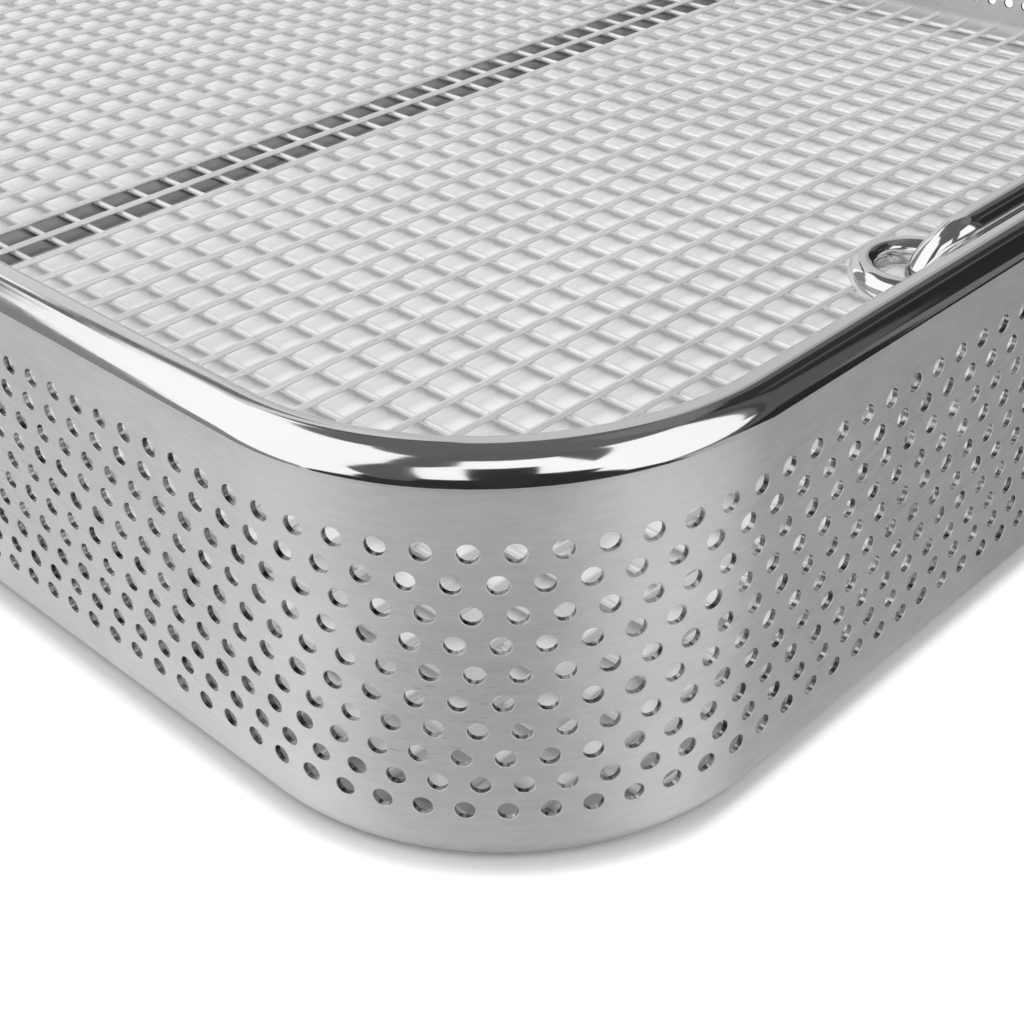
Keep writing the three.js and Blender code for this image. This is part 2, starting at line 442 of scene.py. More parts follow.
def steel(
    name, base, dark_share, grain, rough, bump, smudge_and_shade_scale,
    metal=1.0, spread=0.0, line_share=0.0, scratch_share=0.0,
):
    """Steel with a grain stretched by its three scales, a roughness from rough[0] to rough[1], a bump
    of strength bump[0] and depth bump[1], patches darker by dark_share, which are smudges on most
    steels and painted shade on the holes' walls, and lines and scratches darker by their own shares"""
    if name in bpy.data.materials:
        return bpy.data.materials[name]
    material = bpy.data.materials.new(name)
    material.use_nodes = True
    tree = material.node_tree
    links = tree.links
    shader = tree.nodes["Principled BSDF"]
    shader.inputs["Metallic"].default_value = metal
    shader.inputs["Anisotropic"].default_value = spread
    shader.inputs["Anisotropic Rotation"].default_value = UPRIGHT
    where = add_node(tree, "ShaderNodeTexCoord", (-1300, 0))
    stretch = add_node(tree, "ShaderNodeMapping", (-1100, -200))
    stretch.inputs["Scale"].default_value = grain
    lines = use_group(tree, brushed_grain(), (-850, -200), Fineness=1.0)
    height = lines.outputs["Height"]
    patches = use_group(tree, soft_smudges_and_shade(), (-850, 100), Scale=smudge_and_shade_scale)
    tint = add_node(tree, "ShaderNodeMix", (-600, 300), data_type="RGBA")
    tint.inputs["A"].default_value = base
    tint.inputs["B"].default_value = [c * (1 - dark_share) for c in base[:3]] + [1]
    relief = add_node(tree, "ShaderNodeBump", (-350, -350))
    relief.inputs["Strength"].default_value = bump[0]
    relief.inputs["Distance"].default_value = bump[1]
    links.new(where.outputs["Object"], stretch.inputs["Vector"])
    links.new(where.outputs["Object"], patches.inputs["Vector"])
    links.new(stretch.outputs["Vector"], lines.inputs["Vector"])
    links.new(patches.outputs["Mask"], tint.inputs["Factor"])
    links.new(ranged(tree, (-350, -50), height, GLOSS_RANGE, rough), shader.inputs["Roughness"])
    links.new(height, relief.inputs["Height"])
    links.new(relief.outputs["Normal"], shader.inputs["Normal"])
    colour_out = tint.outputs["Result"]
    if line_share:
        shade = ranged(tree, (-600, 500), height, LINE_RANGE, (1 - line_share, 1))
        colour_out = darken(tree, (-350, 300), colour_out, shade)
    if scratch_share:
        scratches = use_group(tree, fine_scratches(), (-850, 700))
        links.new(where.outputs["Object"], scratches.inputs["Vector"])
        shade = ranged(tree, (-600, 700), scratches.outputs["Mask"], (0, 1), (1, 1 - scratch_share))
        colour_out = darken(tree, (-150, 300), colour_out, shade)
    links.new(colour_out, shader.inputs["Base Color"])
    return material


def satin_steel():
    return steel(
        "satin_brushed_steel", colours().satin, dark_share=0.06, grain=(300, 300, 2200),
        rough=(0.56, 0.64), bump=(0.1, 0.02 * MM), smudge_and_shade_scale=90,
        metal=0.8, spread=0.5, line_share=0.08, scratch_share=0.22,
    )


def sheared_steel_and_painted_shade():
    # Painted shade: the holes' walls are darkened by up to 88% in small patches, standing in for the dark
    # inside the holes
    return steel(
        "sheared_hole_steel_and_painted_shade", colours().hole_wall, dark_share=0.88, grain=(700, 700, 700),
        rough=(0.12, 0.3), bump=(0.3, 0.05 * MM), smudge_and_shade_scale=900,
    )


def polished_steel():
    return steel(
        "polished_rod_steel", colours().polished, dark_share=0.04, grain=(300, 300, 900),
        rough=(0.07, 0.12), bump=(0.03, 0.01 * MM), smudge_and_shade_scale=40,
    )


def wire_steel():
    return steel(
        "bright_wire_steel", colours().wire, dark_share=0.08, grain=(600, 600, 600),
        rough=(0.36, 0.46), bump=(0.1, 0.02 * MM), smudge_and_shade_scale=50, metal=0.45,
    )


def dull_steel():
    return steel(
        "dull_strip_steel", colours().strip, dark_share=0.15, grain=(60, 900, 900),
        rough=(0.35, 0.5), bump=(0.1, 0.02 * MM), smudge_and_shade_scale=60,
    )


# Pieces


def hole_cell(bm, pitch):
    """One pitch of the strip with a round hole in the middle"""
    s = sizes()
    side = 4 * QUARTER / HOLE_SIDES
    turned = Matrix.Rotation(QUARTER, 4, "X") @ Matrix.Rotation(side / 2, 4, "Z")
    ring = ring_of(bm, s.hole_diameter / 2, HOLE_SIDES, turned)
    made = bmesh.ops.extrude_edge_only(bm, edges=pick(ring, bmesh.types.BMEdge))
    # Where the ring's corners go on the cell's border, in shares of its width and height
    border = [(0.5, 1 / 6), (0.5, 0.5), (0.3, 0.5), (0.1, 0.5)]
    border += [(-x, z) for x, z in reversed(border)]
    border += [(-x, -z) for x, z in border]
    for vert in pick(made["geom"], bmesh.types.BMVert):
        angle = math.atan2(vert.co.z, vert.co.x)
        x, z = border[round(angle / side - 0.5) % HOLE_SIDES]
        vert.co = (x * pitch, 0, z * s.row_pitch)


def edge_row(bm, height):
    """The open edges at a height, with their corners"""
    edges = [
        edge for edge in bm.edges
        if edge.is_boundary and all(abs(vert.co.z - height) < MERGE for vert in edge.verts)
    ]
    return list({vert for edge in edges for vert in edge.verts}) + edges


def finish_holes(bm):
    """Breaks the holes' outer edges and gives the holes' walls their own material, steel darkened in
    patches as painted shade
    """
    s = sizes()
    short = s.hole_diameter / 4
    edges = [
        edge for edge in bm.edges
        if edge.calc_length() < short and all(abs(vert.co.y) < MERGE for vert in edge.verts)
    ]
    walls = {face for edge in edges for face in edge.link_faces if abs(face.normal.y) < 0.5}
    for face in walls:
        face.material_index = 1
    broken = bmesh.ops.bevel(
        bm, geom=edges, offset=s.hole_break, offset_type="OFFSET", segments=1,
        profile=0.5, affect="EDGES", material=-1,
    )
    for face in broken["faces"]:
        face.material_index = 0


def quarter_strip():
    """A flat quarter of the wall: rows of holes, the plain band over them, the foot bend and flange"""
    s = sizes()
    pitch = perimeter() / s.hole_columns
    columns = s.hole_columns // 4
    bm = bmesh.new()
    hole_cell(bm, pitch)
    copy_on(bm, (pitch, 0, 0), columns - 1)
    made = bmesh.ops.duplicate(bm, geom=everything(bm))
    shift = Vector((-s.row_shift * pitch, 0, -s.row_pitch))
    bmesh.ops.translate(bm, verts=pick(made["geom"], bmesh.types.BMVert), vec=shift)
    copy_on(bm, (0, 0, -2 * s.row_pitch), s.row_pairs - 1)
    bmesh.ops.remove_doubles(bm, verts=bm.verts[:], dist=MERGE)
    bmesh.ops.translate(bm, verts=bm.verts[:], vec=(0, 0, s.top_row))
    top = s.top_row + s.row_pitch / 2
    bottom = top - 2 * s.row_pairs * s.row_pitch
    wall_top = s.rim_top - s.rim_diameter / 2 - s.rim_overlap
    run_on(bm, edge_row(bm, top), (0, 0, wall_top - top), SHORT_STEPS)
    foot = run_on(bm, edge_row(bm, bottom), (0, 0, s.foot_bend - bottom))
    foot = turn_on(bm, foot, (0, s.foot_bend, s.foot_bend), (1, 0, 0), QUARTER, FLANGE_BEND_STEPS)
    run_on(bm, foot, (0, s.flange_width - s.foot_bend, 0), SHORT_STEPS)
    bmesh.ops.recalc_face_normals(bm, faces=bm.faces[:])
    bm.faces.ensure_lookup_table()
    if bm.faces[0].normal.y > 0:
        bmesh.ops.reverse_faces(bm, faces=bm.faces[:])
    bmesh.ops.solidify(bm, geom=bm.faces[:], thickness=s.sheet)
    finish_holes(bm)
    bmesh.ops.translate(bm, verts=bm.verts[:], vec=(s.hole_start * pitch, 0, 0))
    return bm, columns // 2 * pitch


class BASKET_OT_wall_strip(bpy.types.Operator):
    """Builds the perforated wall with its foot bend and flange, in four quarters"""

    bl_idname = "basket.wall_strip"
    bl_label = "Wall strip"

    def execute(self, context):
        flat, half = quarter_strip()
        places = ("front_right", "back_right", "back_left", "front_left")
        starts = (0, perimeter() / 4, perimeter() / 2, 3 * perimeter() / 4)
        sides = ("right", "back", "left", "front")
        for place, start, side in zip(places, starts, sides):
            bm = flat.copy()
            wrap_on_outline(bm, start - half)
            nodes = (f"wall_corner_{place}", f"wall_{side}")
            finished_piece(
                f"wall_strip_{place}", bm, satin_steel(), "basket", nodes, sheared_steel_and_painted_shade()
            )
        flat.free()
        return {"FINISHED"}


class BASKET_OT_rim_rod(bpy.types.Operator):
    """Builds the polished rod round the top of the wall"""

    bl_idname = "basket.rim_rod"
    bl_label = "Rim rod"

    def execute(self, context):
        s = sizes()
        radius = s.rim_diameter / 2
        arc_x = s.wall_length / 2 - s.corner_radius
        arc_y = s.wall_width / 2 - s.corner_radius
        start = Vector((-arc_x, -s.wall_width / 2 + radius - s.rim_proud, s.rim_top - radius))
        bm = bmesh.new()
        across = Matrix.Translation(start) @ Matrix.Rotation(QUARTER, 4, "Y")
        ends = ring_of(bm, radius, RIM_SIDES, across)
        for end_x, end_y in ((1, -1), (1, 1), (-1, 1), (-1, -1)):
            along_x = end_x * end_y < 0
            move = (end_x * 2 * arc_x, 0, 0) if along_x else (0, end_y * 2 * arc_y, 0)
            ends = run_on(bm, ends, move, LONG_STEPS)
            centre = (end_x * arc_x, end_y * arc_y, 0)
            ends = turn_on(bm, ends, centre, (0, 0, 1), QUARTER, RIM_BEND_STEPS)
        merge_and_face_out(bm)
        nodes = [f"rim_{side}" for side in ("front", "back", "left", "right")]
        nodes += [f"rim_corner_{y}_{x}" for y in ("front", "back") for x in ("left", "right")]
        finished_piece("rim_rod", bm, polished_steel(), "basket", nodes)
        return {"FINISHED"}


def wire_reach(place, arc_along, arc_across):
    """Half the length of the floor wire at a place across the floor"""
    s = sizes()
    bend = s.corner_radius - s.foot_bend - s.mesh_edge
    past = max(0.0, abs(place) - arc_along)
    return arc_across + math.sqrt(max(0.0, bend**2 - past**2))


def floor_wires(count, shift, height, arc_along, arc_across):
    """Straight wires along X, cut to the floor's outline"""
    s = sizes()
    first = shift - (count - 1) / 2 * s.mesh_pitch
    bm = bmesh.new()
    start = Matrix.Translation((0, first, height)) @ Matrix.Rotation(QUARTER, 4, "Y")
    ends = ring_of(bm, s.mesh_wire / 2, WIRE_SIDES, start)
    run_on(bm, ends, (s.mesh_pitch, 0, 0), LONG_STEPS)
    close_ends(bm)
    copy_on(bm, (0, s.mesh_pitch, 0), count - 1)
    for vert in bm.verts:
        wire = round((vert.co.y - first) / s.mesh_pitch)
        reach = wire_reach(first + wire * s.mesh_pitch, arc_along, arc_across)
        vert.co.x = (2 * vert.co.x / s.mesh_pitch - 1) * reach
    merge_and_face_out(bm)
    return bm


class BASKET_OT_mesh_floor(bpy.types.Operator):
    """Lays the floor's long wires and welds the cross wires on them"""

    bl_idname = "basket.mesh_floor"
    bl_label = "Mesh floor"

    def execute(self, context):
        s = sizes()
        arc_x = s.wall_length / 2 - s.corner_radius
        arc_y = s.wall_width / 2 - s.corner_radius
        height = s.mesh_bottom + s.mesh_wire / 2
        along = floor_wires(s.long_wires, s.mesh_shift, height, arc_y, arc_x)
        finished_piece("mesh_long_wires", along, wire_steel(), "basket", ["floor_mesh"])
        across = floor_wires(s.cross_wires, 0, height + s.mesh_wire - s.mesh_sink, arc_x, arc_y)
        turned = Matrix.Rotation(QUARTER, 3, "Z")
        bmesh.ops.rotate(across, verts=across.verts[:], cent=(0, 0, 0), matrix=turned)
        finished_piece("mesh_cross_wires", across, wire_steel(), "basket")
        return {"FINISHED"}


class BASKET_OT_floor_strips(bpy.types.Operator):
    """Builds the two flat strips under the mesh"""

    bl_idname = "basket.floor_strips"
    bl_label = "Floor strips"

    def execute(self, context):
        s = sizes()
        reach = s.wall_width - 2 * s.flange_width
        for name, turn in (("left", -1), ("right", 1)):
            place = (turn * s.strip_spacing / 2, 0, s.sheet / 2)
            bm = bmesh.new()
            bmesh.ops.create_cube(bm, size=1)
            bmesh.ops.scale(bm, verts=bm.verts[:], vec=(s.strip_width, reach, s.sheet))
            bmesh.ops.translate(bm, verts=bm.verts[:], vec=place)
            bmesh.ops.bevel(
                bm, geom=bm.edges[:], offset=s.strip_edge, offset_type="OFFSET", segments=3,
                profile=0.5, affect="EDGES", material=-1,
            )
            node = f"floor_strip_{name}"
            finished_piece(f"strip_{name}", bm, dull_steel(), "basket", [node])
        return {"FINISHED"}


def ring_places():
    """Each guide ring's name, its middle and its end of the basket"""
    s = sizes()
    reach = (s.ring_bore + 2 * s.ring_wire) / 2
    for end, turn in (("right", 1), ("left", -1)):
        for row in ("front", "back"):
            low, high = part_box(f"guide_ring_{row}_{end}")
            middle = (low + high) / 2
            if abs(high.x - low.x - 2 * reach) > MM:
                raise RuntimeError("the guide rings' sizes differ from the frame's")
            yield f"{row}_{end}", middle, turn


def guide_ring(middle, radius):
    s = sizes()
    bm = bmesh.new()
    start = Matrix.Translation(middle + Vector((radius, 0, 0))) @ Matrix.Rotation(QUARTER, 4, "X")
    ends = ring_of(bm, s.ring_wire / 2, RING_SIDES, start)
    turn_on(bm, ends, middle, (0, 0, 1), 4 * QUARTER, RING_STEPS, close=True)
    merge_and_face_out(bm)
    return bm


def weld_bead(wire, rim):
    """A slightly lumpy bead between a ring's wire and the rim"""
    s = sizes()
    bm = bmesh.new()
    bmesh.ops.create_icosphere(bm, subdivisions=3, radius=1.0)
    for vert in bm.verts:
        vert.co *= 1 + s.bead_lumps * math.sin(5 * vert.co.y + 3 * vert.co.x)
    lean = Vector((0, 0, 1)).rotation_difference((rim - wire).normalized()).to_matrix()
    bmesh.ops.scale(bm, verts=bm.verts[:], vec=(s.bead_thick, s.bead_wide, s.bead_long))
    bmesh.ops.rotate(bm, verts=bm.verts[:], cent=(0, 0, 0), matrix=lean)
    bmesh.ops.translate(bm, verts=bm.verts[:], vec=wire.lerp(rim, s.bead_place))
    return bm


class BASKET_OT_guide_rings(bpy.types.Operator):
    """Builds the four guide rings and the beads that join them to the rim"""

    bl_idname = "basket.guide_rings"
    bl_label = "Guide rings"

    def execute(self, context):
        s = sizes()
        radius = (s.ring_bore + s.ring_wire) / 2
        rim_x = s.wall_length / 2 + s.rim_proud - s.rim_diameter / 2
        rim_z = s.rim_top - s.rim_diameter / 2
        for name, middle, turn in ring_places():
            ring = guide_ring(middle, radius)
            finished_piece(
                f"ring_{name}", ring, polished_steel(), "basket", [f"guide_ring_{name}"]
            )
            wire = middle + Vector((turn * radius, 0, 0))
            bead = weld_bead(wire, Vector((turn * rim_x, middle.y, rim_z)))
            finished_piece(f"ring_weld_{name}", bead, polished_steel(), "basket")
        return {"FINISHED"}


def half_handle(bm, leg_x, leg_y, grip_z):
    """Draws the rod from a turned foot up its leg and over its shoulder to the middle of the grip,
    and gives the shoulder's centre"""
    s = sizes()
    foot = Vector((leg_x, -leg_y + s.foot_reach, s.foot_height))
    start = Matrix.Translation(foot) @ Matrix.Rotation(QUARTER, 4, "X")
    ends = ring_of(bm, s.handle_rod / 2, HANDLE_SIDES, start)
    ends = run_on(bm, ends, (0, s.foot_radius - s.foot_reach, 0), SHORT_STEPS)
    bend = (leg_x, -leg_y + s.foot_radius, s.foot_height + s.foot_radius)
    ends = turn_on(bm, ends, bend, (1, 0, 0), -QUARTER, FOOT_STEPS)
    leg = grip_z - s.shoulder_radius - s.foot_height - s.foot_radius
    ends = run_on(bm, ends, (0, 0, leg), LONG_STEPS)
    shoulder = Vector((leg_x, -leg_y + s.shoulder_radius, grip_z - s.shoulder_radius))
    ends = turn_on(bm, ends, shoulder, (1, 0, 0), -QUARTER, SHOULDER_STEPS)
    run_on(bm, ends, (0, -shoulder.y, 0), GRIP_STEPS)
    return shoulder


def lean_out(bm, shoulder, reach):
    """Leans the shoulder and the grip out towards the rim, more the further they are round the bend"""
    for vert in bm.verts:
        over = vert.co.z - shoulder.z
        if over <= 0:
            continue
        inward = vert.co.y - shoulder.y
        bent = 1.0 if inward >= 0 else over**2 / (over**2 + inward**2)
        vert.co.x += reach * bent


class BASKET_OT_drop_handles(bpy.types.Operator):
    """Bends a handle of round rod for each end"""

    bl_idname = "basket.drop_handles"
    bl_label = "Drop handles"

    def execute(self, context):
        radius = sizes().handle_rod / 2
        for end in ("right", "left"):
            low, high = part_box(f"drop_handle_{end}")
            leg_x = min(abs(low.x), abs(high.x)) + radius
            grip_x = max(abs(low.x), abs(high.x)) - radius
            bm = bmesh.new()
            shoulder = half_handle(bm, leg_x, high.y - radius, high.z - radius)
            lean_out(bm, shoulder, grip_x - leg_x)
            half = len(bm.verts)
            bmesh.ops.mirror(bm, geom=everything(bm), matrix=Matrix.Identity(4), merge_dist=MERGE, axis="Y")
            if len(bm.verts) <= half:
                raise RuntimeError("the handle has one half only")
            close_ends(bm)
            merge_and_face_out(bm)
            if end == "left":
                half_turn = Matrix.Rotation(2 * QUARTER, 3, "Z")
                bmesh.ops.rotate(bm, verts=bm.verts[:], cent=(0, 0, 0), matrix=half_turn)
            node = f"drop_handle_{end}"
            finished_piece(f"handle_{end}", bm, polished_steel(), f"{end}_handle", [node])
        return {"FINISHED"}


# Stage

# Half the table's side, and its gap under the basket
TABLE_REACH = 6.0
TABLE_GAP = 0.05 * MM

# The table's glow is painted light, shaped into a painted contact shadow and painted shade: the share
# of open sky at which the glow is gone, how near the basket shuts off the sky, the glow in the open,
# the share of it left under the basket as painted shade, and how soft that edge is
SHADED_SKY = 0.58
SHADOW_REACH = 5 * MM
OPEN_LIGHT = 0.95
INSIDE_LIGHT = 0.5
INSIDE_EDGE = 1 * MM

# The shadow's reach past the right end: there the glow is painted up to full, painted light that cuts
# the contact shadow short at the end that faces a lamp
RIGHT_SHADOW_REACH = 3 * MM

# The distances at which metal begins to lose the table from sight and has lost it, the least share
# of the table that is hidden from metal, and the shift and reach of the part that isn't all hidden
SEEN_NEAR = (15 * MM, 40 * MM)
LEAST_HIDDEN = 0.7
SEEN_SHIFT = (8 * MM, 6 * MM, 0)
SEEN_REACH = 13 * MM

# Metres from the basket to the cards, and to those that stand in front of others
CARD_REACH = 20.0
FRONT_REACH = 19.5

# Each card's two azimuths, the heights of its lower and of its upper edge there, and its level
CARDS = {
    "ceiling_left": ((-180, -120), (55, 66), (90, 90), 0.12),
    "ceiling_front": ((-120, -80), (66, 52), (90, 90), 0.12),
    "ceiling_arch": ((-80, -14), (43, 43), (90, 90), 0.11),
    "ceiling_right": ((-14, 34), (53, 53), (90, 90), 0.12),
    "ceiling_back": ((34, 180), (54, 54), (90, 90), 0.12),
    "gap_low": ((-92, -79), (-50, -50), (-22, 16), 0.1, FRONT_REACH),
    "gap_middle": ((-79, -70), (-50, -36), (54, 54), 0.1, FRONT_REACH),
    "gap_high": ((-70, -58), (10, 22), (54, 54), 0.1, FRONT_REACH),
    "arch_middle": ((-55, -34), (-90, -90), (13, 13), 0.03),
    "notch_left": ((-25, -18), (40, 6), (54, 54), 0.1, FRONT_REACH),
    "notch_right": ((-18, -5), (6, 46), (54, 54), 0.1, FRONT_REACH),
    "left_end": ((-180, -157), (-60, -58), (38, 30), 0.22),
    "left_bend": ((-157, -148), (-58, -57), (30, 19), 0.22),
    "left_edge": ((-148, -142.5), (-30, -20), (19, 0), 0.22),
    "below_left": ((-180, -110), (-90, -90), (-60, -57), 0.03),
    "below_front": ((-110, -80), (-90, -90), (-57, -30), 0.03),
    "below_gap": ((-80, -55), (-90, -90), (-36, -34), 0.025),
    "below_leg": ((-34, -14), (-90, -90), (-17, -26), 0.025),
    "below_right": ((-14, 10), (-90, -90), (-38, -58), 0.025),
    "below_end": ((10, 40), (-90, -90), (-58, -60), 0.03),
    "line_left": ((175, 193), (37, 34), (41, 38), 0.12, FRONT_REACH),
    "line_back": ((156, 175), (34, 37), (39.5, 41), 0.12, FRONT_REACH),
    "line_far": ((143, 156), (26, 34), (32.5, 39.5), 0.12, FRONT_REACH),
    "dark_line": ((140, 165), (46, 46), (54, 54), 0.08),
    "first_streak": ((31, 36), (-10, -10), (53, 54), 0.12),
    "second_streak": ((36, 40), (-60, -60), (54, 54), 0.045),
    "third_streak": ((40, 50), (-60, -60), (54, 54), 0.09),
    "side_band": ((50, 74), (-22, -38), (-12, -28), 0.15, FRONT_REACH),
    "dark_side": ((50, 105), (-60, -60), (28, 28), 0.02),
    "dark_top": ((50, 86), (28, 28), (54, 54), 0.03),
    "top_streak": ((57, 71), (35, 26), (40, 32), 0.09, FRONT_REACH),
    "side_end": ((86, 105), (28, 28), (54, 54), 0.11),
    "below_side": ((40, 180), (-90, -90), (-60, -60), 0.05),
    "under_side": ((44, 105), (-61, -61), (-46, -46), 0.4, FRONT_REACH),
    "above_side": ((40, 105), (56, 56), (74, 74), 0.17, FRONT_REACH),
    "far_edge": ((105, 115), (-60, -60), (54, 54), 0.38),
    "far_side": ((115, 140), (-60, -60), (54, 54), 0.54),
    "far_back": ((140, 172), (-60, -60), (46, 46), 0.63),
}

# Each lamp's place, its two sides and its power, and the point that both face
LAMPS = {
    "left": ((-0.6, -1.1, 1.4), (1.6, 1.6), 16.5),
    "right": ((1.2, -0.2, 1.2), (1.2, 1.2), 13),
}
LAMP_TARGET = (0.1, 0, 0)

# The world's level for what lights the basket, and for what is seen or mirrored
WORLD_LEVELS = (0.5, 1.0)

# The camera's place and directions, fitted to the wall's holes in the photograph
CAMERA_PLACE = (0.312649, -0.195007, 0.113204)
CAMERA_RIGHT = (0.715598, 0.697796, -0.031627)
CAMERA_UP = (-0.367470, 0.414578, 0.832521)
CAMERA_BACK = (0.594041, -0.584129, 0.553090)
CAMERA_LENS = 57.89


def seen_by_eye(tree, place):
    """1 on camera, glossy and transmission rays, and 0 on the rays that light the basket"""
    path = add_node(tree, "ShaderNodeLightPath", place)
    x, y = place
    both = maths(tree, (x + 200, y), "ADD", path.outputs["Is Camera Ray"], path.outputs["Is Glossy Ray"])
    return maths(tree, (x + 400, y), "ADD", both, path.outputs["Is Transmission Ray"])


def past_basket(tree, place, shift, reach):
    """0 on the table under the basket, moved by a shift, and 1 past a reach from it"""
    s = sizes()
    radius = s.corner_radius
    core = (s.wall_length / 2 - radius, s.wall_width / 2 - radius, 0)
    x, y = place
    where = add_node(tree, "ShaderNodeTexCoord", (x - 200, y))
    moved = vector_maths(tree, (x, y), "ADD", where.outputs["Object"], shift)
    size = vector_maths(tree, (x + 200, y), "ABSOLUTE", moved.outputs["Vector"])
    past = vector_maths(tree, (x + 400, y), "SUBTRACT", size.outputs["Vector"], core)
    outside = vector_maths(tree, (x + 600, y), "MAXIMUM", past.outputs["Vector"])
    way = vector_maths(tree, (x + 800, y), "LENGTH", outside.outputs["Vector"])
    return ranged(tree, (x + 1000, y), way.outputs["Value"], (radius, radius + reach), (0, 1))


def table_glow_with_painted_shadow(tree):
    """The table's glow, painted light: a painted contact shadow round the basket, painted shade under it,
    and painted light that lifts the shadow past the right end
    """
    # Painted contact shadow: the glow falls where the basket shuts off the sky
    sky = add_node(tree, "ShaderNodeAmbientOcclusion", (-900, -300), samples=8)
    sky.inputs["Distance"].default_value = SHADOW_REACH
    around = ranged(tree, (-650, -300), sky.outputs["AO"], (SHADED_SKY, 1), (0, OPEN_LIGHT))
    end_x = sizes().wall_length / 2
    where = add_node(tree, "ShaderNodeTexCoord", (-1300, -500))
    apart = add_node(tree, "ShaderNodeSeparateXYZ", (-1100, -500))
    tree.links.new(where.outputs["Object"], apart.inputs["Vector"])
    # Painted light: past the right end the glow rises to full within a few millimetres
    beside = (end_x, end_x + RIGHT_SHADOW_REACH)
    painted_light_past_right_end = ranged(tree, (-900, -500), apart.outputs["X"], beside, (0, OPEN_LIGHT))
    lightest = maths(tree, (-650, -450), "MAXIMUM", around, painted_light_past_right_end)
    past = past_basket(tree, (-2000, -900), (0, 0, 0), INSIDE_EDGE)
    # Painted shade: under the basket only part of the glow is left
    inside = ranged(tree, (-650, -600), past, (0, 1), (INSIDE_LIGHT, 1))
    shaded = maths(tree, (-450, -400), "MULTIPLY", lightest, inside)
    return maths(tree, (-400, -100), "MULTIPLY", seen_by_eye(tree, (-1100, -100)), shaded)


def hidden_in_metal(tree):
    """How far the table is hidden, from 0 to 1, and only on reflected rays"""
    path = add_node(tree, "ShaderNodeLightPath", (-600, 500))
    far_off = ranged(tree, (-400, 300), path.outputs["Ray Length"], SEEN_NEAR, (0, 1))
    past = past_basket(tree, (-2000, 900), SEEN_SHIFT, SEEN_REACH)
    faint = ranged(tree, (-400, 600), past, (0, 1), (LEAST_HIDDEN, 1))
    hidden = maths(tree, (-150, 450), "MAXIMUM", far_off, faint)
    return maths(tree, (0, 300), "MULTIPLY", path.outputs["Is Glossy Ray"], hidden)


def table_material():
    material = bpy.data.materials.new("table")
    material.use_nodes = True
    tree = material.node_tree
    tree.nodes.remove(tree.nodes["Principled BSDF"])
    cloth = add_node(tree, "ShaderNodeBsdfDiffuse", (-200, 100))
    cloth.inputs["Color"].default_value = colours().table
    glow = add_node(tree, "ShaderNodeEmission", (-200, -100))
    both = add_node(tree, "ShaderNodeAddShader", (0, 0))
    clear = add_node(tree, "ShaderNodeBsdfTransparent", (0, 150))
    mix = add_node(tree, "ShaderNodeMixShader", (200, 100))
    tree.links.new(table_glow_with_painted_shadow(tree), glow.inputs["Strength"])
    tree.links.new(cloth.outputs["BSDF"], both.inputs[0])
    tree.links.new(glow.outputs["Emission"], both.inputs[1])
    tree.links.new(hidden_in_metal(tree), mix.inputs["Fac"])
    tree.links.new(both.outputs["Shader"], mix.inputs[1])
    tree.links.new(clear.outputs["BSDF"], mix.inputs[2])
    tree.links.new(mix.outputs["Shader"], tree.nodes["Material Output"].inputs["Surface"])
    return material


def card_material(level):
    material = bpy.data.materials.new("card")
    material.use_nodes = True
    tree = material.node_tree
    tree.nodes.remove(tree.nodes["Principled BSDF"])
    glow = add_node(tree, "ShaderNodeEmission", (0, 0))
    glow.inputs["Color"].default_value = (level, level, level, 1)
    tree.links.new(glow.outputs["Emission"], tree.nodes["Material Output"].inputs["Surface"])
    return material


def stage_piece(name, bm, material):
    """Makes an object of a bmesh that isn't part of the basket"""
    mesh = bpy.data.meshes.new(name)
    bm.to_mesh(mesh)
    bm.free()
    mesh.materials.append(material)
    piece = bpy.data.objects.new(name, mesh)
    bpy.context.scene.collection.objects.link(piece)
    return piece


def add_table():
    bm = bmesh.new()
    bmesh.ops.create_grid(bm, x_segments=1, y_segments=1, size=TABLE_REACH)
    bmesh.ops.translate(bm, verts=bm.verts[:], vec=(0, 0, -TABLE_GAP))
    stage_piece("table", bm, table_material())


def only_in_reflections(card):
    card.visible_camera = False
    card.visible_diffuse = False
    card.visible_shadow = False
    card.visible_transmission = False
    card.visible_volume_scatter = False


def add_card(name, turns, lows, highs, level, reach=CARD_REACH):
    """A curved card that shows in metal only, between two azimuths, with the heights of its lower and
    its upper edge at each, all in degrees"""
    bm = bmesh.new()
    bmesh.ops.create_grid(bm, x_segments=12, y_segments=12, size=0.5)
    for vert in bm.verts:
        along = vert.co.x + 0.5
        low = lows[0] + (lows[1] - lows[0]) * along
        high = highs[0] + (highs[1] - highs[0]) * along
        turn = math.radians(turns[0] + (turns[1] - turns[0]) * along)
        height = math.radians(low + (high - low) * (vert.co.y + 0.5))
        flat = reach * math.cos(height)
        vert.co = (flat * math.cos(turn), flat * math.sin(turn), reach * math.sin(height))
    only_in_reflections(stage_piece(name, bm, card_material(level)))


def add_lamp(name, place, size, power):
    lamp = bpy.data.objects.new(name, bpy.data.lights.new(name, "AREA"))
    lamp.data.shape = "RECTANGLE"
    lamp.data.size = size[0]
    lamp.data.size_y = size[1]
    lamp.data.energy = power
    lamp.location = place
    lamp.rotation_euler = (Vector(LAMP_TARGET) - Vector(place)).to_track_quat("-Z", "Y").to_euler()
    lamp.visible_glossy = False
    bpy.context.scene.collection.objects.link(lamp)


def add_world():
    world = bpy.data.worlds.new("studio")
    bpy.context.scene.world = world
    world.use_nodes = True
    tree = world.node_tree
    back = tree.nodes["Background"]
    back.inputs["Color"].default_value = (1, 1, 1, 1)
    level = ranged(tree, (-300, 0), seen_by_eye(tree, (-1000, 0)), (0, 1), WORLD_LEVELS)
    tree.links.new(level, back.inputs["Strength"])


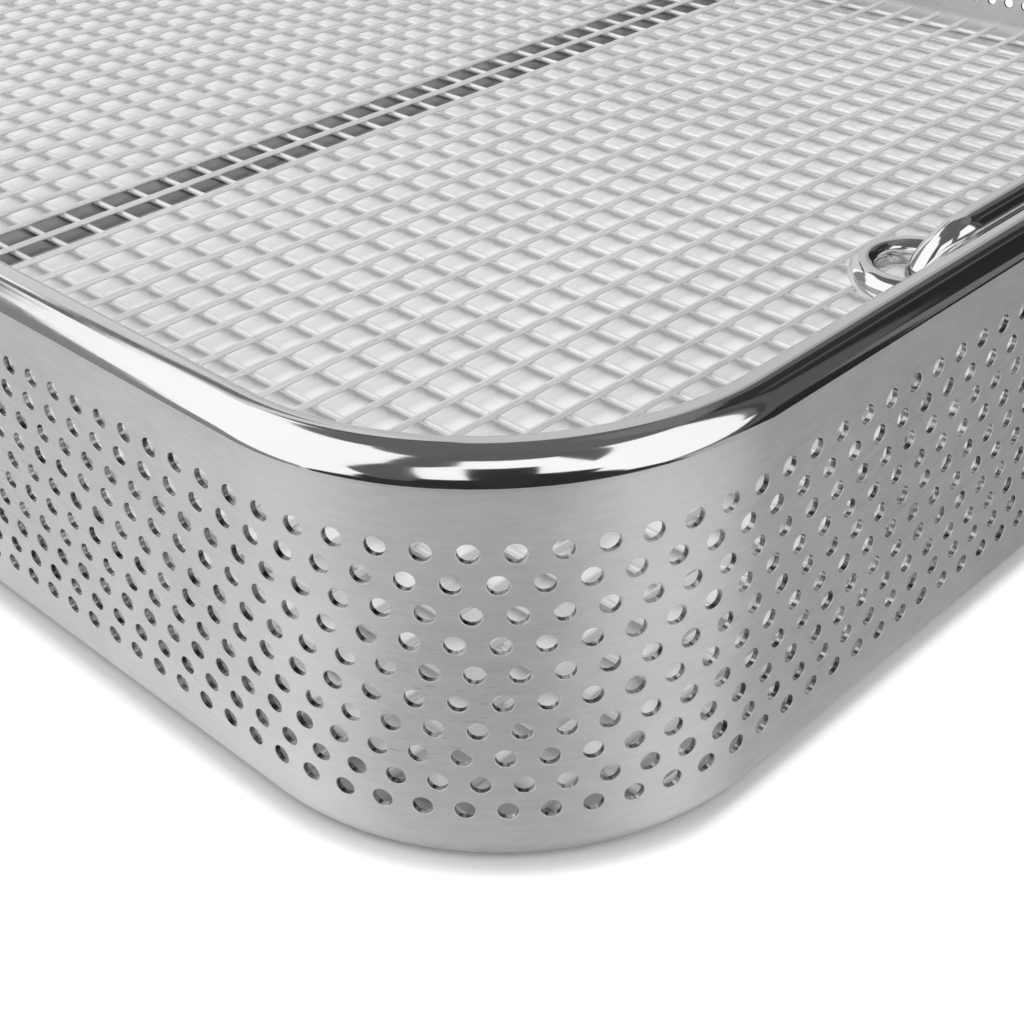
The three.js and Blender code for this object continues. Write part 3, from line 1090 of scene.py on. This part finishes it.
def add_camera():
    camera = bpy.data.objects.new("camera", bpy.data.cameras.new("camera"))
    camera.data.sensor_width = 36
    camera.data.lens = CAMERA_LENS
    camera.data.clip_start = 0.01
    turned = Matrix((CAMERA_RIGHT, CAMERA_UP, CAMERA_BACK)).transposed().to_4x4()
    camera.matrix_world = Matrix.Translation(CAMERA_PLACE) @ turned
    bpy.context.scene.collection.objects.link(camera)
    bpy.context.scene.camera = camera


class BASKET_OT_stage(bpy.types.Operator):
    """Sets the table, the cards that the metal reflects, the lamps and the camera"""

    bl_idname = "basket.stage"
    bl_label = "Stage"

    def execute(self, context):
        add_table()
        for name, card in CARDS.items():
            add_card(f"card_{name}", *card)
        for name, lamp in LAMPS.items():
            add_lamp(f"lamp_{name}", *lamp)
        add_world()
        add_camera()
        context.scene.view_settings.view_transform = "Standard"
        return {"FINISHED"}


class BASKET_PT_panel(bpy.types.Panel):
    """Lists the basket's pieces and sizes"""

    bl_label = "Sterilization basket"
    bl_space_type = "VIEW_3D"
    bl_region_type = "UI"
    bl_category = "Basket"

    def draw(self, context):
        for operator in OPERATORS:
            self.layout.operator(operator.bl_idname)
        for group in (context.scene.basket_sizes, context.scene.basket_colours):
            column = self.layout.column(align=True)
            for name in group.bl_rna.properties.keys():
                if name not in ("rna_type", "name"):
                    column.prop(group, name)


OPERATORS = (
    BASKET_OT_wall_strip,
    BASKET_OT_rim_rod,
    BASKET_OT_mesh_floor,
    BASKET_OT_floor_strips,
    BASKET_OT_guide_rings,
    BASKET_OT_drop_handles,
    BASKET_OT_stage,
)
CLASSES = (BasketSizes, BasketColours, *OPERATORS, BASKET_PT_panel)


def register():
    for each in CLASSES:
        bpy.utils.register_class(each)
    bpy.types.Scene.basket_sizes = bpy.props.PointerProperty(type=BasketSizes)
    bpy.types.Scene.basket_colours = bpy.props.PointerProperty(type=BasketColours)


def unregister():
    del bpy.types.Scene.basket_colours
    del bpy.types.Scene.basket_sizes
    for each in reversed(CLASSES):
        bpy.utils.unregister_class(each)


def main():
    register()
    bpy.ops.basket.wall_strip()
    bpy.ops.basket.rim_rod()
    bpy.ops.basket.mesh_floor()
    bpy.ops.basket.floor_strips()
    bpy.ops.basket.guide_rings()
    bpy.ops.basket.drop_handles()
    bpy.ops.basket.stage()


if __name__ == "__main__":
    main()
